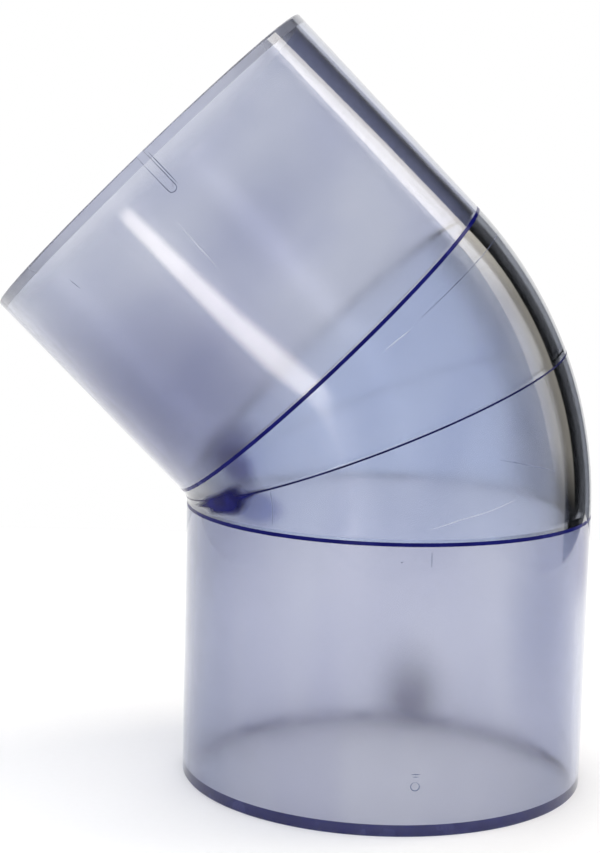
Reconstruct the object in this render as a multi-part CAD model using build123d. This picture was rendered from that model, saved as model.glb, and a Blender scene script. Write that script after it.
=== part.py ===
from build123d import *
import os

# A clear 45 degree PVC elbow with a plain solvent-cement socket at each end.
# It is made up of two socket barrels, two stop rings, two half bends and the cured cement bead
# between the half bends. Every joint is a tongue in a groove, cemented, and flush on the outside.
#
# Frame: millimetres, +Z up. The origin is the centre of the lower pipe stop, on the lower
# socket's axis. The lower socket opens along -Z and the upper one leans over towards -X.

# ---- pipe and walls
pipe_diameter = 160.0         # metric pipe that each socket takes
pipe_clearance = 0.3          # between pipe and socket, on the diameter
socket_wall = 4.4             # round the pipe
stop_ledge = 4.8              # how far each stop stands in from the socket's bore

# ---- lengths and the bend
lower_socket_depth = 114.0    # mouth to pipe stop
upper_socket_depth = 106.0
stop_ring_height = 1.5        # along the passage, and as it shows from outside
bend_angle = 45.0
crotch_radius = 6.5           # the outer skin's own radius on the inside of the bend

# ---- mouths
lead_in_length = 4.0          # chamfer that guides the pipe in, along the bore
lead_in_depth = 2.2           # the same chamfer, into the wall
lip_radius = 0.8              # round on the mouth's outer edge

# ---- cemented joints
cement_gap = 0.05             # left for cement round a tongue and at its end
socket_tongue_width = 1.4     # across the wall, in the middle of it
socket_tongue_height = 1.5
bend_tongue_width = 3.0
bend_tongue_height = 1.2
bead_width = 0.8              # cement bead in the V groove round the middle joint
bead_depth = 0.8

# ---- index slot in the upper mouth, which lines the fitting up with a mark on the pipe
slot_width = 3.4
slot_length = 17.0
slot_depth = 0.7
slot_angle = -88.0            # round the upper arm, from the outside of the bend

# ---- worked out from the sizes above
bore_radius = (pipe_diameter + pipe_clearance) / 2
outer_radius = bore_radius + socket_wall
passage_radius = bore_radius - stop_ledge
bend_radius = outer_radius + crotch_radius
half_angle = bend_angle / 2
socket_tongue_radius = bore_radius + socket_wall / 2
bend_tongue_radius = (passage_radius + outer_radius) / 2


def across(angle):
    """The frame across the passage at an angle round the bend, with its Z along the passage."""
    bend_axis = Location((-bend_radius, 0, stop_ring_height))
    return bend_axis * Location((0, 0, 0), (0, -angle, 0)) * Location((bend_radius, 0, 0))


lower_arm = across(0) * Location((0, 0, 0), (180, 0, 0))    # Z runs out to the lower mouth
upper_arm = across(bend_angle)                              # Z runs out to the upper mouth


def turned(*corners):
    """A ring turned about Z from its section's corners, each a radius and a height."""
    points = [(radius, 0, height) for radius, height in corners]
    return revolve(make_face(Polyline(*points, close=True)), Axis.Z)


def band(radius, width, low, high):
    """A plain ring of a wall's width, with the middle of the wall at the radius."""
    inner, outer = radius - width / 2, radius + width / 2
    return turned((inner, low), (outer, low), (outer, high), (inner, high))


def stop_ring():
    """The pipe stop, from the bend's end at zero outwards, with a tongue on both its faces."""
    ring = turned(
        (passage_radius, 0), (outer_radius, 0),
        (outer_radius, stop_ring_height), (passage_radius, stop_ring_height))
    into_bend = band(bend_tongue_radius, bend_tongue_width, -bend_tongue_height, 0)
    top = stop_ring_height + socket_tongue_height
    into_socket = band(socket_tongue_radius, socket_tongue_width, stop_ring_height, top)
    return ring + into_bend + into_socket


def socket(depth):
    """A socket barrel from the stop ring out to its mouth, with lead-in, lip and tongue groove."""
    mouth = stop_ring_height + depth
    barrel = turned(
        (bore_radius, stop_ring_height), (outer_radius, stop_ring_height), (outer_radius, mouth),
        (bore_radius + lead_in_depth, mouth), (bore_radius, mouth - lead_in_length))
    lip = barrel.edges().filter_by(GeomType.CIRCLE).group_by(Axis.Z)[-1].sort_by(SortBy.RADIUS)[-1]
    barrel = fillet(lip, min(lip_radius, 0.4 * (socket_wall - lead_in_depth)))
    groove_end = stop_ring_height + socket_tongue_height + cement_gap
    groove = band(
        socket_tongue_radius, socket_tongue_width + 2 * cement_gap, stop_ring_height, groove_end)
    return barrel - groove


def index_slot(depth):
    """The shallow round-ended slot that is open at the mouth, as the solid to take away."""
    mouth = stop_ring_height + depth
    run = slot_length - slot_width / 2
    skin = Rot(0, 0, slot_angle) * Location((outer_radius, 0, mouth), (0, 90, 0))
    outline = Pos(run / 2, 0) * Rectangle(run, slot_width) + Pos(run, 0) * Circle(slot_width / 2)
    return skin * extrude(outline, slot_depth, both=True)


def bend_shell(start, turn):
    """The plain tube of the bend, from an angle round it to a further turn."""
    section = across(start) * (Circle(outer_radius) - Circle(passage_radius))
    axis = Axis((-bend_radius, 0, stop_ring_height), (0, -1, 0))
    return revolve(section, axis, turn)


def ring_groove():
    """The groove in a bend's end that takes a stop ring's tongue, in an arm's own frame."""
    width = bend_tongue_width + 2 * cement_gap
    return band(bend_tongue_radius, width, -bend_tongue_height - cement_gap, 0)


def joint_groove():
    """The V groove round the middle joint, as a solid that stands as far out as it cuts in."""
    return across(half_angle) * turned(
        (outer_radius + bead_depth, -bead_width), (outer_radius + bead_depth, bead_width),
        (outer_radius - bead_depth, 0))


def cement_bead():
    """The cured cement that fills the V groove, flush with the bend's skin."""
    return joint_groove() & bend_shell(0, bend_angle)


def lower_half_bend():
    """The half bend on the lower stop ring, with the middle joint's tongue."""
    root = -bend_tongue_height
    tongue = band(bend_tongue_radius, bend_tongue_width, root, bend_tongue_height)
    bend = bend_shell(0, half_angle) + across(half_angle) * tongue
    return bend - lower_arm * ring_groove() - joint_groove()


def upper_half_bend():
    """The half bend under the upper stop ring, with the middle joint's groove."""
    width = bend_tongue_width + 2 * cement_gap
    groove = band(bend_tongue_radius, width, 0, bend_tongue_height + cement_gap)
    bend = bend_shell(half_angle, half_angle) - across(half_angle) * groove
    return bend - upper_arm * ring_groove() - joint_groove()


def elbow():
    """Every piece of the elbow by name, each in its place."""
    return {
        "lower_socket": lower_arm * socket(lower_socket_depth),
        "lower_stop_ring": lower_arm * stop_ring(),
        "lower_half_bend": lower_half_bend(),
        "middle_cement_bead": cement_bead(),
        "upper_half_bend": upper_half_bend(),
        "upper_stop_ring": upper_arm * stop_ring(),
        "upper_socket": upper_arm * (socket(upper_socket_depth) - index_slot(upper_socket_depth)),
    }


os.makedirs("parts", exist_ok=True)
for name, piece in elbow().items():
    export_step(piece, f"parts/{name}.step")
    print(name, round(piece.volume), "mm3")
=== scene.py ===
"""The look of a clear PVC elbow fitting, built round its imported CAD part.

Every length is in metres in the part's own frame: +Z up, the origin at the centre of the lower
pipe stop, the lower socket opening along -Z and the upper one leaning over towards -X.
"""

import logging
import math
from dataclasses import dataclass, field
from enum import Enum
from typing import Callable, Iterable, Sequence

import bpy
from mathutils import Matrix, Vector


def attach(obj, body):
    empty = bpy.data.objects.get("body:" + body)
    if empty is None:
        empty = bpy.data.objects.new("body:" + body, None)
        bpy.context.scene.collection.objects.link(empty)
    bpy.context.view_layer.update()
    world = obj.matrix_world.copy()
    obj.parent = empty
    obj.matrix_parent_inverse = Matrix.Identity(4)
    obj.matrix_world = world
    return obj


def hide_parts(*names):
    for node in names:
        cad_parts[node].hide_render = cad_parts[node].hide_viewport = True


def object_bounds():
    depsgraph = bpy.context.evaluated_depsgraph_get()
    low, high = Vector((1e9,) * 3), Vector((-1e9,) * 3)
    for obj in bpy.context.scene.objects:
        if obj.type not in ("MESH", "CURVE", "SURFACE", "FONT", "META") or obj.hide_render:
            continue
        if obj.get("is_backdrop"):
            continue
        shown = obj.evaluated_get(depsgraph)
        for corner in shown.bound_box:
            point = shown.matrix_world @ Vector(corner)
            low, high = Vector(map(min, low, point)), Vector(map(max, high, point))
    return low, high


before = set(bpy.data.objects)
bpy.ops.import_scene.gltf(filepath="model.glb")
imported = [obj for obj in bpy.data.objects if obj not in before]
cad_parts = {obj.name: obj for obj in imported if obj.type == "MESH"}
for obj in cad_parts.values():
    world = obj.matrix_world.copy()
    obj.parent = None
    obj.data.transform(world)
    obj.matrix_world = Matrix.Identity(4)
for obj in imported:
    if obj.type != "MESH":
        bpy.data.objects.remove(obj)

LOG = logging.getLogger("elbow")
MM = 0.001

# Refractive index of unfilled rigid PVC, for the sodium D line.
PVC_INDEX = 1.53

# Vertex attribute that says how far a thin film covers what lies under it.
COVER = "film_cover"

# Gap left between touching pieces in the look, far under what shows.
JOINT_GAP = 0.02 * MM

# A finish's patterns: where a cloud starts and stops to count.
CLOUD_FROM, CLOUD_TO = 0.3, 0.7
FLOW_FROM, FLOW_TO = 0.32, 0.68

# How far a face turns away, from 0 to 1, before the slanting tint starts and is full.
SLANT_FROM, SLANT_TO = 0.12, 0.62

# Distance towards the outside of the bend over which a polished bore takes over.
POLISHED_FROM, POLISHED_TO = 48 * MM, 70 * MM

# Colours that change nothing when they are multiplied in.
NO_TINT = "#FFFFFF"

# The bend's centre and its whole turn.
BEND_HUB = (-91.05 * MM, 0.0, 1.5 * MM)
BEND_TURN = math.radians(45.0)


class Surface(Enum):
    """Which finish a face of a clear piece takes."""

    SKIN = 0
    BORE = 1
    END = 2


class Arm(Enum):
    """Which stretch of the passage a finish lies on."""

    LOWER = "lower"
    BEND = "bend"
    UPPER = "upper"


class Slot(Enum):
    """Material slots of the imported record."""

    CLEAR_PVC = "clear_pvc"
    STOP_RING_PVC = "stop_ring_pvc"
    CEMENT = "cement"


# ---------------------------------------------------------------------------------------------
# Node and colour helpers
# ---------------------------------------------------------------------------------------------


def linear(code: str) -> tuple[float, float, float, float]:
    """Turns an sRGB hex colour into linear light.

    Args:
        code: The colour as "#RRGGBB".

    Returns:
        Red, green, blue and an opaque alpha, linear.
    """
    channels = [int(code[i : i + 2], 16) / 255 for i in (1, 3, 5)]
    light = [c / 12.92 if c <= 0.04045 else ((c + 0.055) / 1.055) ** 2.4 for c in channels]
    return (light[0], light[1], light[2], 1.0)


def add(
    tree: bpy.types.NodeTree, kind: str, inputs: dict | None = None, **settings: object
) -> bpy.types.Node:
    """Adds one node to a tree with its settings, values and links.

    Args:
        tree: The node tree that takes it.
        kind: The node's type name.
        inputs: By socket name or number, a value or the output socket to link from.
        **settings: Attributes of the node itself.

    Returns:
        The new node.
    """
    node = tree.nodes.new(kind)
    for name, value in settings.items():
        setattr(node, name, value)
    for key, value in (inputs or {}).items():
        if isinstance(value, bpy.types.NodeSocket):
            tree.links.new(value, node.inputs[key])
        else:
            node.inputs[key].default_value = value
    return node


def spread(
    tree: bpy.types.NodeTree,
    value: bpy.types.NodeSocket,
    low: float,
    high: float,
    to_low: float = 0.0,
    to_high: float = 1.0,
) -> bpy.types.NodeSocket:
    """Maps a value smoothly from one range to another, held at both ends.

    Args:
        tree: The node tree.
        value: The value to map.
        low: The value that gives to_low.
        high: The value that gives to_high.
        to_low: The result's first end.
        to_high: The result's other end.

    Returns:
        The mapped value's socket.
    """
    node = add(
        tree,
        "ShaderNodeMapRange",
        {"Value": value, "From Min": low, "From Max": high, "To Min": to_low, "To Max": to_high},
        interpolation_type="SMOOTHSTEP",
    )
    return node.outputs["Result"]


def blend(
    tree: bpy.types.NodeTree,
    share: bpy.types.NodeSocket | float,
    first: object,
    second: object,
    mode: str = "MIX",
) -> bpy.types.NodeSocket:
    """Mixes two colours.

    Args:
        tree: The node tree.
        share: How much of the second shows, from 0 to 1.
        first: The colour, or its socket, at a share of 0.
        second: The colour, or its socket, at a share of 1.
        mode: The blend type.

    Returns:
        The mixed colour's socket.
    """
    node = add(tree, "ShaderNodeMix", data_type="RGBA", blend_type=mode)
    sockets = (node.inputs[0], node.inputs[6], node.inputs[7])
    for socket, value in zip(sockets, (share, first, second)):
        if isinstance(value, bpy.types.NodeSocket):
            tree.links.new(value, socket)
        else:
            socket.default_value = value
    return node.outputs[2]


def noise(
    tree: bpy.types.NodeTree,
    where: bpy.types.NodeSocket,
    size: float,
    detail: float = 2.0,
    warp: float = 0.0,
) -> bpy.types.NodeSocket:
    """A cloudy pattern of a real size.

    Args:
        tree: The node tree.
        where: Coordinates in metres.
        size: The size of one cloud in metres.
        detail: How many finer layers it has.
        warp: How far it is distorted.

    Returns:
        The pattern's value, about 0 to 1.
    """
    node = add(
        tree,
        "ShaderNodeTexNoise",
        {"Vector": where, "Scale": 1 / size, "Detail": detail, "Distortion": warp},
    )
    return node.outputs[0]


def stretched(
    tree: bpy.types.NodeTree,
    where: bpy.types.NodeSocket,
    turn: float,
    squeeze: tuple[float, float, float],
) -> bpy.types.NodeSocket:
    """Coordinates turned about Y and squeezed along each axis, for marks that run one way.

    Args:
        tree: The node tree.
        where: Coordinates in metres.
        turn: The turn about Y in radians.
        squeeze: The factor along each turned axis.

    Returns:
        The new coordinates' socket.
    """
    turned = add(
        tree, "ShaderNodeVectorRotate", {"Vector": where, "Angle": turn}, rotation_type="Y_AXIS"
    )
    scaled = add(
        tree, "ShaderNodeVectorMath", {0: turned.outputs[0], 1: squeeze}, operation="MULTIPLY"
    )
    return scaled.outputs[0]


def near(
    tree: bpy.types.NodeTree,
    where: bpy.types.NodeSocket,
    centre: Sequence[float],
    reach: Sequence[float],
    turn: float = 0.0,
    core: float = 0.15,
) -> bpy.types.NodeSocket:
    """A soft spot: 1 at its centre and 0 past its reach.

    Args:
        tree: The node tree.
        where: Coordinates in metres.
        centre: The spot's centre.
        reach: How far it reaches along each axis.
        turn: The spot's turn about Y in radians.
        core: How far out it stays at 1, as a share of its reach.

    Returns:
        The spot's strength.
    """
    away = add(tree, "ShaderNodeVectorMath", {0: where, 1: tuple(centre)}, operation="SUBTRACT")
    share = stretched(tree, away.outputs[0], turn, tuple(1 / r for r in reach))
    length = add(tree, "ShaderNodeVectorMath", {0: share}, operation="LENGTH")
    return spread(tree, length.outputs["Value"], core, 1.0, 1.0, 0.0)


def outward(
    tree: bpy.types.NodeTree, where: bpy.types.NodeSocket, arm: Arm
) -> bpy.types.NodeSocket:
    """How far a point lies towards the outside of the bend, from the passage's centre line.

    Args:
        tree: The node tree.
        where: Coordinates in metres.
        arm: The stretch of the passage that it lies on.

    Returns:
        The distance in metres, below 0 on the inside of the bend.
    """
    if arm is Arm.BEND:
        away = add(tree, "ShaderNodeVectorMath", {0: where, 1: BEND_HUB}, operation="SUBTRACT")
        flat = add(
            tree,
            "ShaderNodeVectorMath",
            {0: away.outputs[0], 1: (1.0, 0.0, 1.0)},
            operation="MULTIPLY",
        )
        reach = add(tree, "ShaderNodeVectorMath", {0: flat.outputs[0]}, operation="LENGTH")
        out = add(
            tree,
            "ShaderNodeMath",
            {0: reach.outputs["Value"], 1: -BEND_HUB[0]},
            operation="SUBTRACT",
        )
        return out.outputs[0]
    lean = BEND_TURN if arm is Arm.UPPER else 0.0
    across = (math.cos(lean), 0.0, math.sin(lean))
    away = add(tree, "ShaderNodeVectorMath", {0: where, 1: BEND_HUB}, operation="SUBTRACT")
    share = add(
        tree, "ShaderNodeVectorMath", {0: away.outputs[0], 1: across}, operation="DOT_PRODUCT"
    )
    out = add(
        tree, "ShaderNodeMath", {0: share.outputs["Value"], 1: -BEND_HUB[0]}, operation="SUBTRACT"
    )
    return out.outputs[0]


def lets_lamps_through(
    tree: bpy.types.NodeTree, surface: bpy.types.NodeSocket, tint: bpy.types.NodeSocket
) -> bpy.types.NodeSocket:
    """Lets lamps shine straight through a clear surface, tinted, so its shadow is a pale one.

    Args:
        tree: The node tree.
        surface: The clear shader.
        tint: The colour that one surface passes.

    Returns:
        The shader to use instead.
    """
    shadow = add(tree, "ShaderNodeLightPath").outputs["Is Shadow Ray"]
    root = add(tree, "ShaderNodeGamma", {"Color": tint, "Gamma": 0.25})
    clear = add(tree, "ShaderNodeBsdfTransparent", {"Color": root.outputs[0]})
    mixed = add(tree, "ShaderNodeMixShader", {0: shadow, 1: surface, 2: clear.outputs[0]})
    return mixed.outputs[0]


# ---------------------------------------------------------------------------------------------
# Finishes
# ---------------------------------------------------------------------------------------------


@dataclass(frozen=True)
class PaintedShade:
    """A soft patch of painted shade, where the tint is multiplied darker."""

    centre: tuple[float, float, float]
    reach: tuple[float, float, float]
    colour: str
    strength: float
    turn: float = 0.0
    core: float = 0.15


@dataclass(frozen=True)
class ClearPvc:
    """Clear rigid PVC, blue-tinted, as it comes off a polished or a drawn tool.

    The tint is what one surface passes, so a look through both walls shows it squared.
    Soft patches and a band towards the outside of the bend darken it as painted shade.
    """

    name: str
    pale: str
    deep: str
    smooth: float
    rough: float
    haze_size: float = 14 * MM
    flow_size: float = 42 * MM
    arm: Arm = Arm.LOWER
    polished: float = 0.0
    ripple: float = 0.000004
    slant: str = NO_TINT
    painted_outer_shade: str = NO_TINT
    outer_from: float = 64 * MM
    outer_to: float = 78 * MM
    painted_shades: tuple[PaintedShade, ...] = ()

    def material(self) -> bpy.types.Material:
        """Makes the Blender material.

        Returns:
            The material, with its tint, roughness and ripple driven by patterns.
        """
        made = bpy.data.materials.new(self.name)
        made.use_nodes = True
        tree = made.node_tree
        tree.nodes.clear()
        where = add(tree, "ShaderNodeTexCoord").outputs["Object"]
        lean = {Arm.LOWER: 0.0, Arm.BEND: -BEND_TURN / 2, Arm.UPPER: -BEND_TURN}[self.arm]
        along = stretched(tree, where, lean, (1.0, 1.0, 0.22))
        flow = spread(tree, noise(tree, along, self.flow_size, 2.0, 0.6), FLOW_FROM, FLOW_TO)
        tint = blend(tree, flow, linear(self.pale), linear(self.deep))
        # Darker where a face turns away, standing in for the longer path through the wall; the
        # bend's grey one is painted shade.
        facing = add(tree, "ShaderNodeLayerWeight", {"Blend": 0.5}).outputs["Facing"]
        away = spread(tree, facing, SLANT_FROM, SLANT_TO)
        slanted = blend(tree, 1.0, tint, linear(self.slant), "MULTIPLY")
        tint = blend(tree, away, tint, slanted)
        # Painted shade: soft patches where the tint is multiplied darker.
        for patch in self.painted_shades:
            spot = near(tree, where, patch.centre, patch.reach, patch.turn, patch.core)
            share = add(tree, "ShaderNodeMath", {0: spot, 1: patch.strength}, operation="MULTIPLY")
            tint = blend(tree, share.outputs[0], tint, linear(patch.colour), "MULTIPLY")
        # Painted shade: darker towards the outside of the bend, standing in for the dark flag seen
        # through the wall's edge.
        if self.painted_outer_shade != NO_TINT:
            outer_shade_mask = spread(tree, outward(tree, where, self.arm), self.outer_from, self.outer_to)
            outer = blend(tree, 1.0, tint, linear(self.painted_outer_shade), "MULTIPLY")
            tint = blend(tree, outer_shade_mask, tint, outer)
        haze = noise(tree, where, self.haze_size, 3.0)
        rough = spread(tree, haze, CLOUD_FROM, CLOUD_TO, self.smooth, self.rough)
        if self.polished:
            side = spread(tree, outward(tree, where, self.arm), POLISHED_FROM, POLISHED_TO)
            rough = add(
                tree, "ShaderNodeMix", {0: side, 2: rough, 3: self.polished}, data_type="FLOAT"
            ).outputs[0]
        fine = noise(tree, along, self.haze_size * 0.4, 2.0)
        bump = add(
            tree, "ShaderNodeBump", {"Height": fine, "Distance": self.ripple, "Strength": 1.0}
        )
        glass = add(
            tree,
            "ShaderNodeBsdfPrincipled",
            {
                "Base Color": tint,
                "Roughness": rough,
                "Normal": bump.outputs["Normal"],
                "IOR": PVC_INDEX,
                "Transmission Weight": 1.0,
            },
        )
        lit = lets_lamps_through(tree, glass.outputs["BSDF"], tint)
        add(tree, "ShaderNodeOutputMaterial", {"Surface": lit})
        return made


@dataclass(frozen=True)
class DarkLine:
    """A narrow joint or shoulder that light leaves sideways, so it reads as a dark line."""

    name: str
    colour: str
    worn: str
    smooth: float = 0.12
    rough: float = 0.3
    passes: float = 0.0
    shine: float = 0.5
    fades: bool = False
    cloud_size: float = 9 * MM
    grain_size: float = 1.5 * MM
    grain_depth: float = 0.03 * MM

    def material(self) -> bpy.types.Material:
        """Makes the Blender material.

        Returns:
            The material, a little uneven in colour and shine along its length.
        """
        made = bpy.data.materials.new(self.name)
        made.use_nodes = True
        tree = made.node_tree
        tree.nodes.clear()
        where = add(tree, "ShaderNodeTexCoord").outputs["Object"]
        cloud = noise(tree, where, self.cloud_size, 3.0)
        tint = blend(tree, spread(tree, cloud, 0.35, 0.7), linear(self.colour), linear(self.worn))
        rough = spread(tree, cloud, CLOUD_FROM, CLOUD_TO, self.smooth, self.rough)
        grain = noise(tree, where, self.grain_size)
        bump = add(tree, "ShaderNodeBump", {"Height": grain, "Distance": self.grain_depth})
        body = add(
            tree,
            "ShaderNodeBsdfPrincipled",
            {
                "Base Color": tint,
                "Roughness": rough,
                "Normal": bump.outputs["Normal"],
                "IOR": PVC_INDEX,
                "Transmission Weight": self.passes,
                "Specular IOR Level": self.shine,
            },
        )
        shown = body.outputs["BSDF"]
        if self.fades:
            cover = add(tree, "ShaderNodeAttribute", attribute_name=COVER).outputs["Fac"]
            clear = add(tree, "ShaderNodeBsdfTransparent")
            shown = add(
                tree, "ShaderNodeMixShader", {0: cover, 1: clear.outputs[0], 2: shown}
            ).outputs[0]
        add(tree, "ShaderNodeOutputMaterial", {"Surface": shown})
        return made


# ---------------------------------------------------------------------------------------------
# Shape
# ---------------------------------------------------------------------------------------------


@dataclass(frozen=True)
class Passage:
    """The line that the bore follows: down the lower arm, round the bend and up the upper arm."""

    outer_radius: float = 84.55 * MM
    bore_radius: float = 80.15 * MM
    passage_radius: float = 75.35 * MM
    bend_radius: float = 91.05 * MM
    start_height: float = 1.5 * MM
    bend_angle: float = math.radians(45.0)

    def across(self, turn: float) -> tuple[Vector, Vector, Vector]:
        """The frame across the passage at an angle round the bend.

        Args:
            turn: The angle in radians.

        Returns:
            The centre, the direction away from the bend's own centre, and the way along.
        """
        out = Vector((math.cos(turn), 0.0, math.sin(turn)))
        along = Vector((-math.sin(turn), 0.0, math.cos(turn)))
        hub = Vector((-self.bend_radius, 0.0, self.start_height))
        return hub + out * self.bend_radius, out, along

    def point(self, turn: float, offset: float, radius: float, angle: float) -> Vector:
        """A point round the passage.

        Args:
            turn: The angle round the bend, in radians.
            offset: How far on along the passage from there.
            radius: How far from the passage's centre line.
            angle: The way round it, from the outside of the bend towards +Y, in radians.

        Returns:
            The point in the part's frame.
        """
        centre, out, along = self.across(turn)
        side = Vector((0.0, 1.0, 0.0))
        return centre + along * offset + (out * math.cos(angle) + side * math.sin(angle)) * radius


@dataclass(frozen=True)
class Station:
    """One ring of points in a piece's closed section, and the finish of the band after it."""

    radius: float
    turn: float
    offset: float
    surface: Surface
    corner: bool = False


Recess = Callable[[float, float, float], float]


def even_angles(count: int) -> list[float]:
    """Evenly spaced angles once round, in radians."""
    return [2 * math.pi * i / count for i in range(count)]


def swept(
    name: str,
    passage: Passage,
    stations: Sequence[Station],
    angles: Sequence[float],
    finishes: Sequence[bpy.types.Material],
    recess: Recess | None = None,
) -> bpy.types.Object:
    """Makes a closed ring-shaped solid from a section's stations.

    Args:
        name: The object's name.
        passage: The line that it lies round.
        stations: The section's corners in order, closed back to the first.
        angles: The angles round the passage, ascending.
        finishes: One material for each Surface, in order.
        recess: Gives a point's radius from its own radius, offset and angle.

    Returns:
        The object, smooth but for its corners.
    """
    points, faces, bands, sharp = [], [], [], set()
    round_count, count = len(angles), len(stations)
    for s in stations:
        for a in angles:
            radius = recess(s.radius, s.offset, a) if recess else s.radius
            points.append(passage.point(s.turn, s.offset, radius, a))
    for i, s in enumerate(stations):
        after = (i + 1) % count
        for j in range(round_count):
            k = (j + 1) % round_count
            faces.append(
                (
                    i * round_count + j,
                    i * round_count + k,
                    after * round_count + k,
                    after * round_count + j,
                )
            )
            bands.append(s.surface.value)
            if s.corner:
                sharp.add(frozenset((i * round_count + j, i * round_count + k)))
    mesh = bpy.data.meshes.new(name)
    mesh.from_pydata(points, [], faces)
    for finish in finishes:
        mesh.materials.append(finish)
    mesh.polygons.foreach_set("material_index", bands)
    mesh.polygons.foreach_set("use_smooth", [True] * len(faces))
    for edge in mesh.edges:
        edge.use_edge_sharp = frozenset(edge.vertices) in sharp
    if volume_of(points, faces) < 0:
        mesh.flip_normals()
    mesh.update()
    made = bpy.data.objects.new(name, mesh)
    bpy.context.scene.collection.objects.link(made)
    return made


def volume_of(points: Sequence[Vector], faces: Iterable[Sequence[int]]) -> float:
    """The signed volume that faces close in.

    Args:
        points: The corner points.
        faces: Four corner numbers for each face.

    Returns:
        The volume, above 0 where the faces point outwards.
    """
    total = 0.0
    for a, b, c, d in faces:
        total += points[a].dot(points[b].cross(points[c]))
        total += points[a].dot(points[c].cross(points[d]))
    return total / 6


def fitted(
    piece: bpy.types.Object, nodes: Sequence[str] = ()
) -> bpy.types.Object:
    """Makes a piece ride on the fitting and stand for its CAD nodes.

    Args:
        piece: The piece.
        nodes: The CAD nodes that it stands for.

    Returns:
        The piece.
    """
    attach(piece, "root")
    if nodes:
        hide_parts(*nodes)
    stood_for = ", ".join(nodes) or "no node"
    LOG.info("%s: %d faces, stands for %s", piece.name, len(piece.data.polygons), stood_for)
    return piece


# ---------------------------------------------------------------------------------------------
# Sub-assemblies
# ---------------------------------------------------------------------------------------------


@dataclass(frozen=True)
class IndexSlot:
    """The shallow round-ended slot in a socket's skin, open at the mouth."""

    width: float = 3.4 * MM
    length: float = 17.0 * MM
    depth: float = 0.7 * MM
    angle: float = math.radians(-88.0)
    wall: float = 0.12 * MM
    margin: float = 1.2 * MM
    step_along: float = 0.14 * MM
    step_round: float = 0.1 * MM
    face_margin: float = 0.1 * MM

    def fall(self, across: float, inward: float) -> float:
        """How deep the slot is at a place on the skin.

        Args:
            across: The distance round the skin from the slot's middle.
            inward: The distance in from the mouth.

        Returns:
            The depth there.
        """
        run = self.length - self.width / 2
        past = max(inward - run, 0.0)
        inside = self.width / 2 - math.hypot(across, past)
        return self.depth * min(max(inside / self.wall, 0.0), 1.0)


@dataclass(frozen=True)
class SocketBarrel:
    """A plain pipe socket with a lead-in chamfer and a rounded lip."""

    name: str
    passage: Passage
    depth: float
    turn: float
    way: float
    stop_height: float = 1.5 * MM
    lead_in_length: float = 4.0 * MM
    lead_in_depth: float = 2.2 * MM
    lip_radius: float = 0.8 * MM
    joint_clearance: float = JOINT_GAP
    segments: int = 384
    lip_steps: int = 6
    slot: IndexSlot | None = None

    def stations(self) -> list[Station]:
        """The wall's closed section.

        Returns:
            Stations from the stop ring down the skin, round the mouth and back up the bore.
        """
        p, mouth = self.passage, self.stop_height + self.depth
        top = self.stop_height + self.joint_clearance
        lip_start = mouth - self.lip_radius

        def at(radius: float, height: float, surface: Surface, corner: bool = False) -> Station:
            """One station of this arm."""
            return Station(radius, self.turn, self.way * height, surface, corner)

        made = [at(p.outer_radius, top, Surface.SKIN, True)]
        if self.slot:
            step = self.slot.step_along
            first = mouth - self.slot.length - self.slot.margin
            count = int((lip_start - first) / step)
            made += [at(p.outer_radius, first + step * i, Surface.SKIN) for i in range(count)]
        made.append(at(p.outer_radius, lip_start, Surface.SKIN))
        for i in range(1, self.lip_steps):
            bend = math.pi / 2 * i / self.lip_steps
            radius = p.outer_radius - self.lip_radius * (1 - math.cos(bend))
            made.append(at(radius, lip_start + self.lip_radius * math.sin(bend), Surface.SKIN))
        made.append(at(p.outer_radius - self.lip_radius, mouth, Surface.END))
        made.append(at(p.bore_radius + self.lead_in_depth, mouth, Surface.END, True))
        made.append(at(p.bore_radius, mouth - self.lead_in_length, Surface.BORE, True))
        made.append(at(p.bore_radius, top, Surface.BORE, True))
        return made

    def angles(self) -> list[float]:
        """Angles round the barrel, closer together at the slot.

        Returns:
            The angles, ascending.
        """
        even = even_angles(self.segments)
        if not self.slot:
            return even
        middle = self.slot.angle % (2 * math.pi)
        reach = self.slot.width * 0.75 / self.passage.outer_radius
        step = self.slot.step_round / self.passage.outer_radius
        count = int(2 * reach / step)
        close = [middle - reach + step * i for i in range(count + 1)]
        return sorted([a for a in even if abs(a - middle) > reach + step / 2] + close)

    def recess(self, radius: float, offset: float, angle: float) -> float:
        """The skin's radius where the slot is cut.

        Args:
            radius: The radius without the slot.
            offset: The place along the arm.
            angle: The way round it.

        Returns:
            The radius with the slot.
        """
        slot, outer = self.slot, self.passage.outer_radius
        inward = self.stop_height + self.depth - abs(offset)
        face = self.passage.bore_radius + self.lead_in_depth
        if not slot or radius < face + slot.face_margin:
            return radius
        turn = (angle - slot.angle + math.pi) % (2 * math.pi) - math.pi
        if abs(turn) > slot.width / outer:
            return radius
        return min(radius, outer - slot.fall(turn * outer, inward))

    def build(self, finishes: Sequence[bpy.types.Material]) -> bpy.types.Object:
        """Builds and dresses the barrel.

        Args:
            finishes: One material for each Surface.

        Returns:
            The barrel.
        """
        cut = self.recess if self.slot else None
        made = swept(self.name, self.passage, self.stations(), self.angles(), finishes, cut)
        return fitted(made, (self.name.removesuffix("_wall"),))


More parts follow.
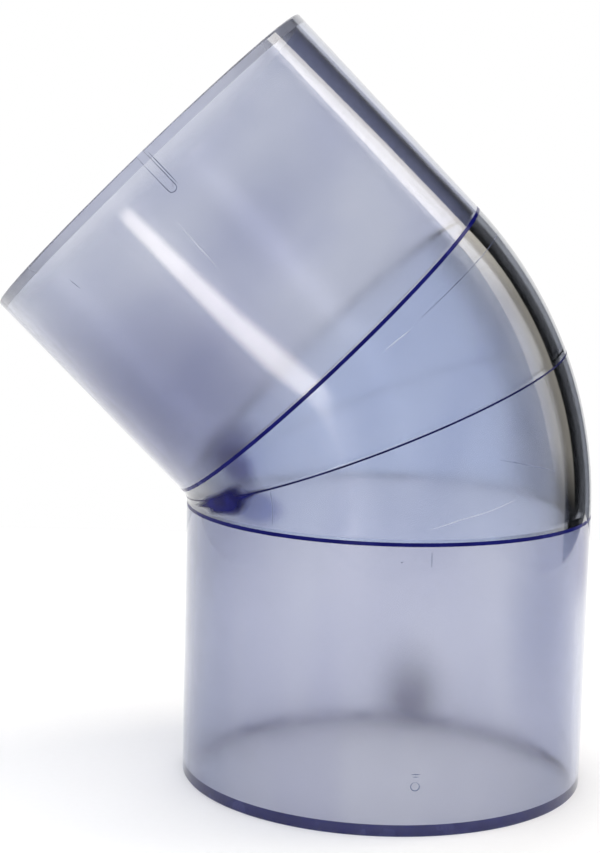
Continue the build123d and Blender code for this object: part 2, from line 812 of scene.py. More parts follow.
@dataclass(frozen=True)
class StopRing:
    """The shoulder that a pipe stops against, seen from outside as a dark line."""

    name: str
    passage: Passage
    turn: float
    way: float
    height: float = 1.5 * MM
    clearance: float = JOINT_GAP
    edge_depth: float = 1.2 * MM
    segments: int = 384

    def build(self, finishes: Sequence[bpy.types.Material]) -> bpy.types.Object:
        """Builds and dresses the ring.

        Args:
            finishes: One material for each Surface.

        Returns:
            The ring.
        """
        p, low, high = self.passage, self.clearance, self.height - self.clearance
        corners = (
            (p.outer_radius, low, Surface.SKIN),
            (p.outer_radius, high, Surface.END),
            (p.outer_radius - self.edge_depth, high, Surface.BORE),
            (p.passage_radius, high, Surface.BORE),
            (p.passage_radius, low, Surface.BORE),
            (p.outer_radius - self.edge_depth, low, Surface.END),
        )
        stations = [Station(r, self.turn, self.way * h, s, True) for r, h, s in corners]
        made = swept(self.name, p, stations, even_angles(self.segments), finishes)
        return fitted(made, (self.name.removesuffix("_shoulder"),))


@dataclass(frozen=True)
class HalfBend:
    """One half of the bend's thicker wall, with its side of the middle joint's groove."""

    name: str
    passage: Passage
    plain_turn: float
    joint_turn: float
    joint_side: float
    groove: float = 0.8 * MM
    clearance: float = 0.015 * MM
    segments: int = 384
    steps: int = 28

    def build(self, finishes: Sequence[bpy.types.Material]) -> bpy.types.Object:
        """Builds and dresses the half bend.

        Args:
            finishes: One material for each Surface.

        Returns:
            The half bend.
        """
        p, gap = self.passage, self.joint_side * self.clearance
        turns = [
            self.plain_turn + (self.joint_turn - self.plain_turn) * i / self.steps
            for i in range(self.steps + 1)
        ]
        skin = [Station(p.outer_radius, t, 0.0, Surface.SKIN) for t in turns[:-1]]
        bore = [Station(p.passage_radius, t, 0.0, Surface.BORE) for t in reversed(turns[:-1])]
        skin[0] = Station(p.outer_radius, turns[0], -gap, Surface.SKIN, True)
        bore[-1] = Station(p.passage_radius, turns[0], -gap, Surface.BORE, True)
        cut = self.joint_side * self.groove / 2
        joint = [
            Station(p.outer_radius, self.joint_turn, cut, Surface.END, True),
            Station(p.outer_radius - self.groove, self.joint_turn, gap, Surface.BORE, True),
            Station(p.passage_radius, self.joint_turn, gap, Surface.BORE, True),
        ]
        made = swept(self.name, p, skin + joint + bore, even_angles(self.segments), finishes)
        return fitted(made, (self.name.removesuffix("_wall"),))


@dataclass(frozen=True)
class CementBead:
    """Cured solvent cement in the groove round the middle joint, flush with the skin."""

    name: str
    passage: Passage
    turn: float
    width: float = 0.74 * MM
    depth: float = 0.74 * MM
    crown: float = 0.02 * MM
    segments: int = 384

    def build(self, finish: bpy.types.Material) -> bpy.types.Object:
        """Builds and dresses the bead.

        Args:
            finish: The cement.

        Returns:
            The bead.
        """
        p = self.passage
        stations = [
            Station(p.outer_radius, self.turn, -self.width / 2, Surface.SKIN, True),
            Station(p.outer_radius + self.crown, self.turn, 0.0, Surface.SKIN),
            Station(p.outer_radius, self.turn, self.width / 2, Surface.SKIN, True),
            Station(p.outer_radius - self.depth, self.turn, 0.0, Surface.SKIN, True),
        ]
        made = swept(self.name, p, stations, even_angles(self.segments), [finish])
        return fitted(made, ("middle_cement_bead",))


Place = tuple[float, float, float]


@dataclass(frozen=True)
class SkinMark:
    """Fine lines on the outer skin: witness lines, scratches and specks.

    Each line is a row of places, as degrees round the bend, millimetres on along the passage
    from there, and degrees round the passage.
    """

    name: str
    passage: Passage
    lines: tuple[tuple[Place, ...], ...]
    width: float
    slot: Slot = Slot.CLEAR_PVC
    proud: float = 0.03 * MM
    step: float = 1.5 * MM

    def along(self, line: Sequence[Place]) -> list[tuple[Vector, Vector]]:
        """Points of a line on the skin, close together.

        Args:
            line: The line's own places.

        Returns:
            Each point and its way out of the skin.
        """
        made = []
        for first, last in zip(line, line[1:]):
            ends = [self.on_skin(place, 0.0) for place in (first, last)]
            count = max(int((ends[1] - ends[0]).length / self.step), 2)
            for i in range(count + (last is line[-1])):
                place = tuple(a + (b - a) * i / count for a, b in zip(first, last))
                low, high = self.on_skin(place, 0.0), self.on_skin(place, 1.0 * MM)
                made.append((low, (high - low).normalized()))
        return made

    def on_skin(self, place: Place, above: float) -> Vector:
        """The point at a place, at a height above the skin."""
        turn, offset, angle = place
        p = self.passage
        return p.point(math.radians(turn), offset * MM, p.outer_radius + above, math.radians(angle))

    def build(self, finish: bpy.types.Material) -> bpy.types.Object:
        """Builds and dresses the lines as one piece.

        Args:
            finish: Their finish.

        Returns:
            The piece.
        """
        points, faces = [], []
        section = ((-1.0, -1.0), (1.0, -1.0), (1.0, 1.0), (-1.0, 1.0))
        for line in self.lines:
            row = self.along(line)
            base, last = len(points), len(row) - 1
            for i, (point, out) in enumerate(row):
                ahead = (row[min(i + 1, last)][0] - row[max(i - 1, 0)][0]).normalized()
                side = ahead.cross(out).normalized()
                half = self.width / 2 * min(1.0, 0.25 + 3.0 * min(i, last - i) / last)
                for across, above in section:
                    points.append(point + side * (across * half) + out * (above * self.proud))
            faces.append((base, base + 1, base + 2, base + 3))
            end = base + 4 * last
            faces.append((end + 3, end + 2, end + 1, end))
            for i in range(last):
                a = base + 4 * i
                for j in range(4):
                    k = (j + 1) % 4
                    faces.append((a + j, a + 4 + j, a + 4 + k, a + k))
        if volume_of(points, faces) < 0:
            faces = [tuple(reversed(face)) for face in faces]
        mesh = bpy.data.meshes.new(self.name)
        mesh.from_pydata(points, [], faces)
        mesh.materials.append(finish)
        mesh.update()
        made = bpy.data.objects.new(self.name, mesh)
        bpy.context.scene.collection.objects.link(made)
        return fitted(made)


@dataclass(frozen=True)
class CementRun:
    """Cement that ran out of the middle joint at the tight inside of the bend, and cured there.

    Its outline is a row of places, as degrees round the bend and degrees round the passage.
    """

    name: str
    passage: Passage
    outline: tuple[tuple[float, float], ...]
    middle: tuple[float, float]
    thickness: float = 0.10 * MM
    sunk: float = 0.05 * MM
    steps: int = 6
    rings: tuple[float, ...] = (0.3, 0.5, 0.65, 0.8, 0.95, 1.1, 1.25)
    covers: tuple[float, ...] = (1.0, 0.98, 0.93, 0.8, 0.5, 0.18, 0.0)

    def edge(self) -> list[tuple[float, float]]:
        """The outline as a smooth closed curve.

        Returns:
            Places close together.
        """
        made, count = [], len(self.outline)
        for i in range(count):
            a, b, c, d = (self.outline[(i + k - 1) % count] for k in range(4))
            for j in range(self.steps):
                t = j / self.steps
                made.append(
                    tuple(
                        0.5
                        * (
                            2 * q
                            + (r - p) * t
                            + (2 * p - 5 * q + 4 * r - s) * t**2
                            + (3 * q - p - 3 * r + s) * t**3
                        )
                        for p, q, r, s in zip(a, b, c, d)
                    )
                )
        return made

    def at(self, place: Sequence[float], above: float) -> Vector:
        """The point at a place, at a height above the skin."""
        radius = self.passage.outer_radius + above
        return self.passage.point(math.radians(place[0]), 0.0, radius, math.radians(place[1]))

    def build(self, finish: bpy.types.Material) -> bpy.types.Object:
        """Builds and dresses the run.

        Args:
            finish: The cured cement.

        Returns:
            The run.
        """
        edge = self.edge()
        count = len(edge)
        points, faces = [], []
        for top in (True, False):
            centre = len(points)
            points.append(self.at(self.middle, self.thickness if top else -self.sunk))
            for share in self.rings:
                height = self.thickness * max(1 - share**2, 0.1) if top else -self.sunk
                points += [
                    self.at([m + (e - m) * share for m, e in zip(self.middle, place)], height)
                    for place in edge
                ]
            for j in range(count):
                k = (j + 1) % count
                faces.append((centre, centre + 1 + j, centre + 1 + k))
                for i in range(len(self.rings) - 1):
                    a, b = centre + 1 + i * count, centre + 1 + (i + 1) * count
                    faces.append((a + j, b + j, b + k, a + k))
            if not top:
                faces = [tuple(reversed(f)) if min(f) >= centre else f for f in faces]
        outer = 1 + (len(self.rings) - 1) * count
        below = outer + 1 + len(self.rings) * count
        for j in range(count):
            k = (j + 1) % count
            faces.append((outer + j, below + j, below + k, outer + k))
        mesh = bpy.data.meshes.new(self.name)
        mesh.from_pydata(points, [], faces)
        mesh.materials.append(finish)
        mesh.polygons.foreach_set("use_smooth", [True] * len(faces))
        film = [1.0] + [cover for cover in self.covers for _ in edge]
        mesh.attributes.new(COVER, "FLOAT", "POINT").data.foreach_set("value", film * 2)
        way_out = self.at(self.middle, MM) - self.at(self.middle, 0.0)
        if mesh.polygons[0].normal.dot(way_out) < 0:
            mesh.flip_normals()
        mesh.update()
        made = bpy.data.objects.new(self.name, mesh)
        bpy.context.scene.collection.objects.link(made)
        return fitted(made)


# ---------------------------------------------------------------------------------------------
# Studio
# ---------------------------------------------------------------------------------------------


@dataclass(frozen=True)
class Patch:
    """A soft-edged flag of the room, seen only in and through the fitting's own surfaces.

    Its sides are in degrees: round from straight behind the fitting towards its right, and up
    from the horizon.
    """

    round_from: float
    round_to: float
    up_from: float
    up_to: float
    colour: str
    level: float
    edge: float = 8.0


@dataclass(frozen=True)
class Stop:
    """One cross-section of a strip light: its middle, its width and how bright it is."""

    middle: tuple[float, float, float]
    width: float
    level: float


@dataclass(frozen=True)
class Strip:
    """A soft-edged strip light that only the fitting's gloss shows."""

    name: str
    stops: tuple[Stop, ...]
    side: tuple[float, float, float]
    facing: tuple[float, float, float]
    colour: str
    softness: float


@dataclass(frozen=True)
class Viewpoint:
    """Where the camera stands, from a point that it looks at."""

    aim: tuple[float, float, float] = (-0.0379, 0.0008, 0.0328)
    distance: float = 0.78
    azimuth: float = math.radians(-1.082)
    elevation: float = math.radians(8.05)
    roll: float = math.radians(1.453)
    lens: float = 78.6
    sensor: float = 36.0

    def build(self) -> bpy.types.Object:
        """Makes the camera and the scene's view of it.

        Returns:
            The camera object.
        """
        a, e = self.azimuth, self.elevation
        back = Vector((math.sin(a) * math.cos(e), -math.cos(a) * math.cos(e), math.sin(e)))
        right = (-back).cross(Vector((0, 0, 1))).normalized()
        up = back.cross(right)
        turn = Matrix.Rotation(self.roll, 3, back)
        data = bpy.data.cameras.new("studio_camera")
        data.lens, data.sensor_width, data.sensor_fit = self.lens, self.sensor, "AUTO"
        data.clip_start, data.clip_end = 0.02, 50.0
        camera = bpy.data.objects.new("studio_camera", data)
        pose = Matrix((turn @ right, turn @ up, back)).transposed().to_4x4()
        pose.translation = Vector(self.aim) + back * self.distance
        camera.matrix_world = pose
        bpy.context.scene.collection.objects.link(camera)
        bpy.context.scene.camera = camera
        return camera


@dataclass(frozen=True)
class Studio:
    """A bright-field studio: white paper, a white room, two dark flags and two strips."""

    floor_height: float
    floor_size: float = 1.0
    patches: tuple[Patch, ...] = ()
    strips: tuple[Strip, ...] = ()
    viewpoint: Viewpoint = field(default_factory=Viewpoint)
    room_level: float = 1.0
    key_size: tuple[float, float] = (0.9, 1.2)
    key_watts: float = 9.0
    key_place: tuple[float, float, float] = (1.35, 0.35, 1.1)
    overhead_size: float = 3.0
    overhead_watts: float = 20.0
    overhead_place: tuple[float, float, float] = (0.0, 0.6, 2.2)

    def room(self) -> None:
        """Makes the world: plain white to the eye, with soft dark patches in the gloss."""
        world = bpy.data.worlds.new("white_room")
        bpy.context.scene.world = world
        world.use_nodes = True
        tree = world.node_tree
        tree.nodes.clear()
        where = add(tree, "ShaderNodeTexCoord").outputs["Generated"]
        colour = add(tree, "ShaderNodeRGB").outputs[0]
        colour.default_value = linear("#FFFFFF")
        parts = add(tree, "ShaderNodeSeparateXYZ", {0: where}).outputs
        turn = add(tree, "ShaderNodeMath", {0: parts[0], 1: parts[1]}, operation="ARCTAN2")
        rise = add(tree, "ShaderNodeMath", {0: parts[2]}, operation="ARCSINE")
        for patch in self.patches:
            share = None
            for angle, first, last in (
                (turn.outputs[0], patch.round_from, patch.round_to),
                (rise.outputs[0], patch.up_from, patch.up_to),
            ):
                for side, inward in ((first, 1.0), (last, -1.0)):
                    start = math.radians(side - inward * patch.edge)
                    end = math.radians(side + inward * patch.edge)
                    low, high = sorted((start, end))
                    ends = (0.0, 1.0) if inward > 0 else (1.0, 0.0)
                    ramp = spread(tree, angle, low, high, *ends)
                    share = ramp if share is None else add(
                        tree, "ShaderNodeMath", {0: share, 1: ramp}, operation="MULTIPLY"
                    ).outputs[0]
            share = add(tree, "ShaderNodeMath", {0: share, 1: patch.level}, operation="MULTIPLY")
            colour = blend(tree, share.outputs[0], colour, linear(patch.colour))
        seen = add(tree, "ShaderNodeLightPath").outputs["Is Camera Ray"]
        shown = blend(tree, seen, colour, linear("#FFFFFF"))
        back = add(tree, "ShaderNodeBackground", {"Color": shown, "Strength": self.room_level})
        add(tree, "ShaderNodeOutputWorld", {"Surface": back.outputs[0]})

    def floor(self) -> bpy.types.Object:
        """Lays the paper that the fitting stands on.

        Returns:
            The paper.
        """
        half = self.floor_size / 2
        mesh = bpy.data.meshes.new("paper")
        corners = [(-half, -half), (half, -half), (half, half), (-half, half)]
        mesh.from_pydata([(x, y, self.floor_height) for x, y in corners], [], [(0, 1, 2, 3)])
        made = bpy.data.materials.new("white_paper")
        made.use_nodes = True
        tree = made.node_tree
        tree.nodes.clear()
        where = add(tree, "ShaderNodeTexCoord").outputs["Object"]
        fibre = noise(tree, where, 3 * MM, 3.0)
        tint = blend(tree, fibre, linear("#FCFCFC"), linear("#FFFFFF"))
        paper = add(
            tree,
            "ShaderNodeBsdfPrincipled",
            {"Base Color": tint, "Roughness": spread(tree, fibre, 0.3, 0.7, 0.75, 0.9)},
        )
        add(tree, "ShaderNodeOutputMaterial", {"Surface": paper.outputs["BSDF"]})
        mesh.materials.append(made)
        sheet = bpy.data.objects.new("paper", mesh)
        bpy.context.scene.collection.objects.link(sheet)
        sheet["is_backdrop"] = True
        return sheet

    def strip(self, strip: Strip) -> bpy.types.Object:
        """Hangs one strip light.

        Args:
            strip: Its place, width and colour.

        Returns:
            The strip.
        """
        side = Vector(strip.side).normalized()
        columns = 16
        points, faces, glow_levels = [], [], []
        for stop in strip.stops:
            for j in range(columns + 1):
                across = 2 * j / columns - 1
                points.append(Vector(stop.middle) + side * (across * stop.width / 2))
                fade = min((1 - abs(across)) / strip.softness, 1.0)
                glow_levels.append(stop.level * fade * fade * (3 - 2 * fade))
        for i in range(len(strip.stops) - 1):
            for j in range(columns):
                k = i * (columns + 1) + j
                faces.append((k, k + 1, k + columns + 2, k + columns + 1))
        mesh = bpy.data.meshes.new(strip.name)
        mesh.from_pydata(points, [], faces)
        if mesh.polygons[0].normal.dot(Vector(strip.facing)) < 0:
            mesh.flip_normals()
        soft = mesh.attributes.new("glow_level", "FLOAT", "POINT")
        soft.data.foreach_set("value", glow_levels)
        made = bpy.data.materials.new(strip.name)
        made.use_nodes = True
        tree = made.node_tree
        tree.nodes.clear()
        level = add(tree, "ShaderNodeAttribute", attribute_name="glow_level").outputs["Fac"]
        glow = add(tree, "ShaderNodeEmission", {"Color": linear(strip.colour), "Strength": level})
        clear = add(tree, "ShaderNodeBsdfTransparent")
        back = add(tree, "ShaderNodeNewGeometry").outputs["Backfacing"]
        front = add(tree, "ShaderNodeAddShader", {0: glow.outputs[0], 1: clear.outputs[0]})
        one_sided = add(
            tree, "ShaderNodeMixShader", {0: back, 1: front.outputs[0], 2: clear.outputs[0]}
        )
        add(tree, "ShaderNodeOutputMaterial", {"Surface": one_sided.outputs[0]})
        mesh.materials.append(made)
        lamp = bpy.data.objects.new(strip.name, mesh)
        bpy.context.scene.collection.objects.link(lamp)
        lamp.visible_camera = False
        lamp.visible_diffuse = False
        lamp.visible_shadow = False
        lamp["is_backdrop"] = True
        return lamp

    def key_light(self) -> bpy.types.Object:
        """Hangs the large soft key light, off to the right.

        Returns:
            The light.
        """
        data = bpy.data.lights.new("key_softbox", "AREA")
        data.shape, (data.size, data.size_y) = "RECTANGLE", self.key_size
        data.energy = self.key_watts
        data.color = linear("#FFF3E2")[:3]
        light = bpy.data.objects.new("key_softbox", data)
        light.location = self.key_place
        light.rotation_mode = "QUATERNION"
        light.rotation_quaternion = light.location.to_track_quat("Z", "Y")
        light.visible_camera = False
        light.visible_glossy = False
        light.visible_transmission = False
        bpy.context.scene.collection.objects.link(light)
        return light

    def overhead(self) -> bpy.types.Object:
        """Hangs the broad fill light over the paper.

        Returns:
            The light.
        """
        data = bpy.data.lights.new("overhead_softbox", "AREA")
        data.shape, data.size = "SQUARE", self.overhead_size
        data.energy = self.overhead_watts
        light = bpy.data.objects.new("overhead_softbox", data)
        light.location = self.overhead_place
        light.visible_camera = False
        light.visible_glossy = False
        light.visible_transmission = False
        bpy.context.scene.collection.objects.link(light)
        return light

    def build(self) -> None:
        """Builds the room, the paper, the lights and the camera."""
        self.room()
        self.floor()
        for strip in self.strips:
            self.strip(strip)
        self.key_light()
        self.overhead()
        self.viewpoint.build()
        scene = bpy.context.scene
        scene.view_settings.view_transform = "Standard"
        scene.view_settings.look = "None"
        cycles = scene.cycles
        cycles.use_denoising = True
        cycles.max_bounces = 24
        cycles.transmission_bounces = 24
        cycles.transparent_max_bounces = 16
        cycles.glossy_bounces = 8
        cycles.blur_glossy = 0.6
        cycles.caustics_refractive = True
        cycles.caustics_reflective = False
        cycles.sample_clamp_indirect = 6.0


# ---------------------------------------------------------------------------------------------
# The fitting
# ---------------------------------------------------------------------------------------------


@dataclass
class Elbow:
    """The whole fitting, lower mouth to upper mouth."""

    passage: Passage = field(default_factory=Passage)
    lower_depth: float = 114.0 * MM
    upper_depth: float = 106.0 * MM

    def finishes(self) -> dict[str, bpy.types.Material]:
        """Makes every finish once.

        Returns:
            The materials by their short names.
        """
        kinds = {
            # Polished moulded skin: sharp reflections with a faint orange-peel ripple.
            # Its tint is a little deeper than the upper arm's copy: painted shade.
            "socket_skin": ClearPvc(
                "clear_pvc_polished_skin",
                "#CFD2DE",
                "#C7CADA",
                0.03,
                0.06,
                slant="#B8C0D6",
                # Painted shade: a dark blue band high on the skin's right side.
                painted_shades=(PaintedShade((0.080, -0.030, -0.014), (0.012, 0.05, 0.030), "#5058A0", 0.7),),
            ),
            # Drawn bore: fine draw haze, so that the far wall is only a soft shadow.
            # Its tint is a little deeper than the upper arm's copy: painted shade.
            "socket_bore": ClearPvc(
                "clear_pvc_drawn_bore",
                "#CFD2DE",
                "#C5C8D9",
                0.19,
                0.26,
                polished=0.08,
                painted_shades=(
                    # Painted shade low at the back, standing in for a dark reflection; it is a
                    # guess.
                    PaintedShade(
                        (0.019, 0.078, -0.102), (0.023, 0.040, 0.035),
                        "#44445E", 1.0, 0.0, 0.1,
                    ),
                    # Painted shade high on the bore's left side and in a patch on its right front.
                    PaintedShade((-0.085, 0.0, 0.0), (0.06, 0.2, 0.05), "#B0B4CC", 0.6),
                    PaintedShade((0.055, -0.055, -0.030), (0.024, 0.04, 0.055), "#98A4C2", 0.7),
                ),
            ),
            # The same polished skin, a little paler than the lower socket's shaded copy, with
            # painted shade on the arm's inner side and painted blue shade at the tight inside.
            "upper_skin": ClearPvc(
                "clear_pvc_polished_upper_skin",
                "#D6D9E3",
                "#CED1DF",
                0.03,
                0.06,
                arm=Arm.UPPER,
                slant="#E0E4F0",
                painted_shades=(
                    PaintedShade((-0.085, -0.03, 0.045), (0.085, 0.2, 0.065), "#C4C6DA", 0.9),
                    PaintedShade(
                        (-0.0650, -0.066, 0.0290), (0.0100, 0.030, 0.0100),
                        "#4C50A0", 0.85, -0.6, 0.3,
                    ),
                ),
            ),
            # Drawn bore again, with painted shade towards the outside of the bend, on the arm's
            # inner side and midway along it, and painted blue shade at the tight inside.
            "upper_bore": ClearPvc(
                "clear_pvc_drawn_upper_bore",
                "#D6D9E3",
                "#CCD0DE",
                0.19,
                0.26,
                arm=Arm.UPPER,
                polished=0.05,
                painted_outer_shade="#8A8B9E",
                painted_shades=(
                    PaintedShade((-0.085, 0.0, 0.045), (0.085, 0.2, 0.065), "#C0C2D6", 0.9),
                    PaintedShade(
                        (-0.0665, -0.066, 0.032), (0.0125, 0.04, 0.021),
                        "#3C4078", 0.9, -0.6, 0.35,
                    ),
                    PaintedShade((-0.060, 0.0, 0.120), (0.030, 0.2, 0.050), "#C4C8DC", 0.8, -0.78),
                ),
            ),
            # Thicker bend wall: the same polish with a deeper blue, a grey painted shade where its
            # faces turn away, and painted blue shade at the tight inside.
            "bend_skin": ClearPvc(
                "clear_pvc_polished_bend_skin",
                "#C9D1E4",
                "#C1C9DF",
                0.03,
                0.06,
                arm=Arm.BEND,
                slant="#A09C92",
                painted_shades=(
                    # Painted blue shade at the tight inside of the bend.
                    PaintedShade(
                        (-0.0630, -0.065, 0.0265), (0.0095, 0.030, 0.0110),
                        "#4C50A8", 0.85, 0.5, 0.3,
                    ),
                    PaintedShade(
                        (-0.0560, -0.062, 0.0105), (0.0160, 0.030, 0.0100),
                        "#6874B8", 0.9, 0.0, 0.4,
                    ),
                ),
            ),
            # Moulded bore of the bend: hazy, with painted shade towards the outside of the bend,
            # along its inside and in a patch on its outside, and painted blue shade at the tight
            # inside.
            "bend_bore": ClearPvc(
                "clear_pvc_moulded_bend_bore",
                "#C9D1E4",
                "#BFC8DE",
                0.17,
                0.26,
                arm=Arm.BEND,
                polished=0.05,
                painted_outer_shade="#8A888E",
                outer_from=54 * MM,
                outer_to=68 * MM,
                painted_shades=(
                    PaintedShade(
                        (-0.0670, -0.050, 0.0115), (0.0120, 0.035, 0.0115),
                        "#5058B0", 0.9, 0.0, 0.3,
                    ),
                    PaintedShade((-0.070, 0.0, 0.013), (0.036, 0.2, 0.018), "#9098C0", 0.8, -0.3),
                    PaintedShade(
                        (-0.0610, -0.064, 0.0245), (0.0085, 0.04, 0.0150),
                        "#3C4088", 0.9, 0.5, 0.3,
                    ),
                    PaintedShade((0.054, -0.055, 0.045), (0.020, 0.05, 0.045), "#98A0BA", 0.4),
                ),
            ),
            # Turned mouth: light that has run the length of the wall comes out deep blue.
            "mouth": DarkLine(
                "clear_pvc_turned_mouth", "#1A1E70", "#22267A", passes=0.12, shine=0.1
            ),
            # Turned upper mouth: its faces are seen edge-on, so it stays pale and frosty.
            "upper_mouth": ClearPvc(
                "clear_pvc_turned_upper_mouth", "#F4F5FA", "#E8EAF4", 0.4, 0.5, arm=Arm.UPPER
            ),
            # Cement-wetted shoulder: dense navy with hardly any shine.
            "ring": DarkLine("stop_shoulder_navy", "#080A54", "#0E1260", shine=0.06),
            # Clear inside of the shoulder, as glossy as the bend's bore.
            "ring_inside": ClearPvc("clear_pvc_shoulder", "#D6DBEE", "#CAD0E8", 0.1, 0.2),
            # Cured solvent cement: nearly black violet, dull.
            "cement": DarkLine("cured_solvent_cement", "#080C3C", "#141850", 0.2, 0.4, shine=0.08),
            # Cement that ran out at the tight inside of the bend and cured navy.
            "cement_run": DarkLine(
                "cured_cement_run", "#08084A", "#181A66", 0.3, 0.5, shine=0.06, fades=True
            ),
            # Scratches in the skin: bright where they catch the light, grey where they lie flat.
            "bright_scratch": DarkLine("clear_pvc_bright_scratch", "#B8BED2", "#CCD2E0", 0.3, 0.5),
            "dull_scratch": DarkLine("clear_pvc_dull_scratch", "#5A6480", "#7A84A0", 0.3, 0.5),
            # Painted shade for fine steps, the mould witness and the slot's edge: a thin slate
            # line.
            "witness": DarkLine("clear_pvc_step_line_shade", "#303A5A", "#4A5474", 0.2, 0.4),
        }
        return {name: kind.material() for name, kind in kinds.items()}

    def marks(self, f: dict[str, bpy.types.Material]) -> list[bpy.types.Object]:
        """Builds the mould's own marks and the wear on the skin.

        Args:
            f: The finishes.

        Returns:
            The pieces.
        """
        p = self.passage
        ring = tuple(
            (0.0, -95.2 + 1.7 * math.cos(a), -84.5 + 1.15 * math.sin(a))
            for a in [2 * math.pi * i / 12 for i in range(13)]
        )
        slot_end = [math.pi * i / 8 for i in range(9)]
        slot_edge = (
            (45.0, 105.0, -86.75),
            *((45.0, 90.5 - 1.7 * math.sin(a), -88 + 1.2 * math.cos(a)) for a in slot_end),
            (45.0, 105.0, -89.25),
        )
        sets = (
            # Painted shade: a thin slate line along the mould witness step.
            (
                "upper_half_bend_witness_line",
                "witness",
                0.3 * MM,
                (((41.3, 0, -12), (41.3, 0, -64)),),
            ),
            (
                "lower_socket_mould_mark",
                "dull_scratch",
                0.45 * MM,
                (
                    ring,
                    ((0, -90.4, -85.6), (0, -90.4, -83.2)),
                    ((0, -91.4, -85.2), (0, -91.4, -83.6)),
                ),
            ),
            (
                "bend_bright_scratches",
                "bright_scratch",
                0.22 * MM,
                (
                    ((2.9, 0, -82.8), (4.4, 0, -74.8), (5.3, 0, -66.2), (6.4, 0, -58.3)),
                    ((41.3, 0, -77.2), (41.2, 0, -73.1), (41.0, 0, -68.8)),
                ),
            ),
            (
                "upper_socket_bright_scratches",
                "bright_scratch",
                0.26 * MM,
                (((45, 78.7, -93.0), (45, 68.6, -93.3), (45, 59.3, -93.5)),),
            ),
            (
                "bend_dull_scratches",
                "dull_scratch",
                0.25 * MM,
                (
                    ((13.5, 0, -61.3), (11.1, 0, -51.8), (9.0, 0, -42.0)),
                    ((22.1, 0, -123.7), (12.0, 0, -124.6), (3.0, 0, -125.4)),
                    ((29.4, 0, -65.9), (29.7, 0, -65.5)),
                    ((2.2, 0, -57.4), (2.5, 0, -57.0)),
                ),
            ),
            (
                "lower_socket_dull_scratches",
                "dull_scratch",
                0.28 * MM,
                (
                    ((0, -3.4, -82.2), (0, -9.5, -82.1)),
                    ((0, -7.2, -90.2), (0, -7.7, -89.9), (0, -7.2, -89.6)),
                ),
            ),
            # Painted shade: a thin slate line round the index slot's edge.
            (
                "upper_socket_slot_edge",
                "witness",
                0.3 * MM,
                (slot_edge, ((45, 105.6, -86.15), (45, 90.2, -86.15))),
            ),
            (
                "upper_socket_dull_scratches",
                "dull_scratch",
                0.3 * MM,
                (((45, 92.5, -125.9), (45, 89.6, -125.6), (45, 87.8, -125.4)),),
            ),
        )
        run = CementRun(
            "middle_cement_run",
            p,
            (
                (12.0, -158.0),
                (21.5, -152.5),
                (26.3, -149.0),
                (27.8, -143.0),
                (29.8, -137.5),
                (28.0, -134.2),
                (24.3, -133.5),
                (22.8, -127.0),
                (19.6, -132.5),
                (14.0, -134.8),
                (9.0, -138.5),
                (8.2, -143.5),
                (7.0, -149.0),
                (11.5, -151.0),
            ),
            (18.5, -143.0),
        ).build(f["cement_run"])
        return [run] + [
            SkinMark(name, p, lines, width).build(f[kind]) for name, kind, width, lines in sets
        ]

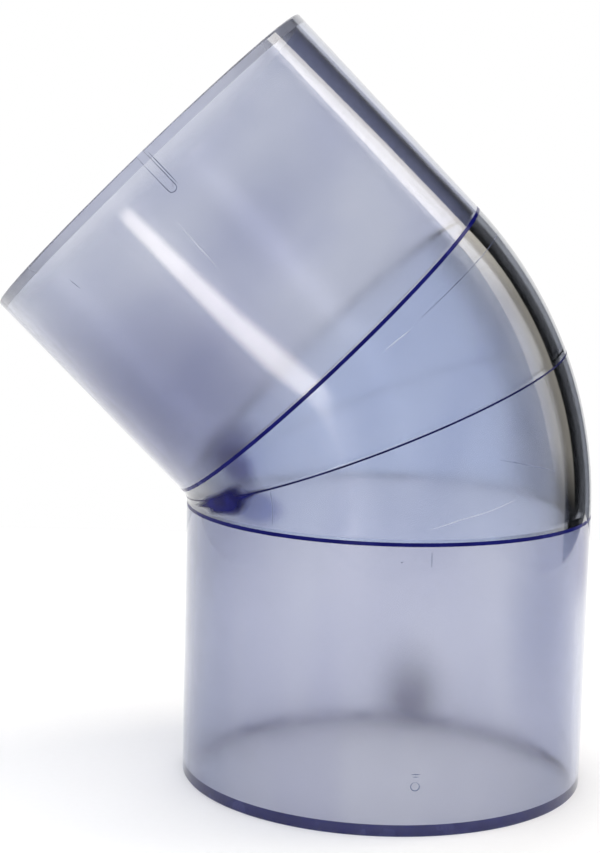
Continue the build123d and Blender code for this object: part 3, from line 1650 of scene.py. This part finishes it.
    def build(self) -> list[bpy.types.Object]:
        """Builds every piece in order, lower mouth to upper mouth.

        Returns:
            The pieces.
        """
        f, p = self.finishes(), self.passage
        middle = p.bend_angle / 2
        lower_wall = [f["socket_skin"], f["socket_bore"], f["mouth"]]
        upper_wall = [f["upper_skin"], f["upper_bore"], f["upper_mouth"]]
        bend_wall = [f["bend_skin"], f["bend_bore"], f["bend_bore"]]
        ring_wall = [f["ring"], f["ring_inside"], f["ring"]]
        return [
            SocketBarrel("lower_socket_wall", p, self.lower_depth, 0.0, -1.0).build(lower_wall),
            StopRing("lower_stop_ring_shoulder", p, 0.0, -1.0).build(ring_wall),
            HalfBend("lower_half_bend_wall", p, 0.0, middle, -1.0).build(bend_wall),
            CementBead("middle_cement_line", p, middle).build(f["cement"]),
            HalfBend("upper_half_bend_wall", p, p.bend_angle, middle, 1.0).build(bend_wall),
            StopRing("upper_stop_ring_shoulder", p, p.bend_angle, 1.0).build(ring_wall),
            SocketBarrel(
                "upper_socket_wall", p, self.upper_depth, p.bend_angle, 1.0, slot=IndexSlot()
            ).build(upper_wall),
        ] + self.marks(f)


def corners() -> list[list[float]]:
    """The lowest and highest corners of what is shown, as plain lists."""
    return [list(corner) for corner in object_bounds()]


def main() -> None:
    """Builds the fitting and its studio."""
    logging.basicConfig(level=logging.INFO, format="%(name)s: %(message)s")
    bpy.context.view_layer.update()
    elbow = Elbow()
    pieces = elbow.build()
    LOG.info("%d pieces built", len(pieces))
    studio = Studio(
        floor_height=-elbow.lower_depth,
        patches=(
            Patch(25.5, 68.0, -60.0, 13.0, "#040506", 1.0, 1.5),
            Patch(23.5, 62.0, 11.0, 72.0, "#040506", 1.0, 1.5),
        ),
        strips=(
            Strip(
                "front_strip",
                (
                    Stop((-0.193, -0.307, 0.0510), 0.060, 0.0),
                    Stop((-0.189, -0.307, 0.0478), 0.070, 8.0),
                    Stop((-0.1557, -0.308, 0.0187), 0.085, 8.5),
                    Stop((-0.1335, -0.309, 0.0008), 0.100, 8.0),
                    Stop((-0.1005, -0.314, -0.0141), 0.118, 7.5),
                    Stop((-0.0780, -0.318, -0.0185), 0.105, 7.0),
                    Stop((-0.0710, -0.319, -0.0240), 0.085, 0.0),
                ),
                (0.7, 0.1, 0.7),
                (0.2, 0.93, 0.3),
                "#FFF6EA",
                0.7,
            ),
            Strip(
                "rear_strip",
                (
                    Stop((0.560, 0.305, 0.910), 0.18, 4.6),
                    Stop((0.577, 0.315, 0.880), 0.20, 4.8),
                    Stop((0.668, 0.365, 0.777), 0.30, 4.8),
                    Stop((0.739, 0.378, 0.696), 0.34, 4.4),
                    Stop((0.860, 0.365, 0.494), 0.42, 1.9),
                    Stop((0.950, 0.335, 0.246), 0.46, 1.6),
                    Stop((0.980, 0.330, 0.050), 0.46, 1.3),
                    Stop((0.990, 0.330, -0.100), 0.42, 0.0),
                ),
                (-0.27, 0.92, -0.27),
                (-0.65, -0.4, -0.6),
                "#FFF9EC",
                0.12,
            ),
        ),
    )
    studio.build()


if __name__ == "__main__":
    main()
